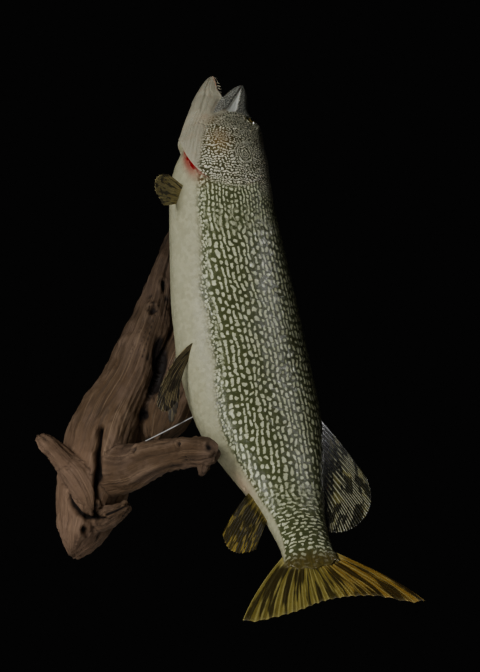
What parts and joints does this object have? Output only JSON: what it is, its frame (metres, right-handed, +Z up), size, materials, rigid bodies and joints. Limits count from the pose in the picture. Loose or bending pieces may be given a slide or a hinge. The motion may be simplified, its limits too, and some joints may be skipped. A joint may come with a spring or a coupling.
{
  "type": "mounted northern pike",
  "caption": "Mounted pike hung head-up on a driftwood wall mount, body gently curved, mouth open, spotted green flank and cream belly, fins spread",
  "frame": {"origin": "On the wall plane, at the middle of the flat sawn back of the driftwood's main limb", "axes": "+Y points into the wall along the mounting face's normal, +Z is up along the fish toward its head, +X is to the right as seen from the front; the viewer is on the -Y side"},
  "size_m": [0.5337, 0.3512, 0.9103],
  "materials": {
    "fish_skin": "glossy lacquer",
    "fin_membrane": "glossy lacquer",
    "mouth_lining": "glossy",
    "eye_glass": "polished",
    "driftwood": "weathered, dry",
    "steel": "bright"
  },
  "bodies": {
    "root": {"head": "fish_skin", "lower_jaw": "fish_skin", "maxilla_left": "fish_skin", "maxilla_right": "fish_skin", "gill_cover_left": "fish_skin", "gill_cover_right": "fish_skin", "trunk_front": "fish_skin", "trunk_rear": "fish_skin", "tail_stalk": "fish_skin", "dorsal_fin": "fin_membrane", "anal_fin": "fin_membrane", "caudal_fin": "fin_membrane", "pectoral_fin_left": "fin_membrane", "pectoral_fin_right": "fin_membrane", "pelvic_fin_left": "fin_membrane", "pelvic_fin_right": "fin_membrane", "tongue": "mouth_lining", "eye_left": "eye_glass", "eye_right": "eye_glass", "driftwood": "driftwood", "mount_wire": "steel", "mount_bolt": "steel"}
  },
  "joints": []
}
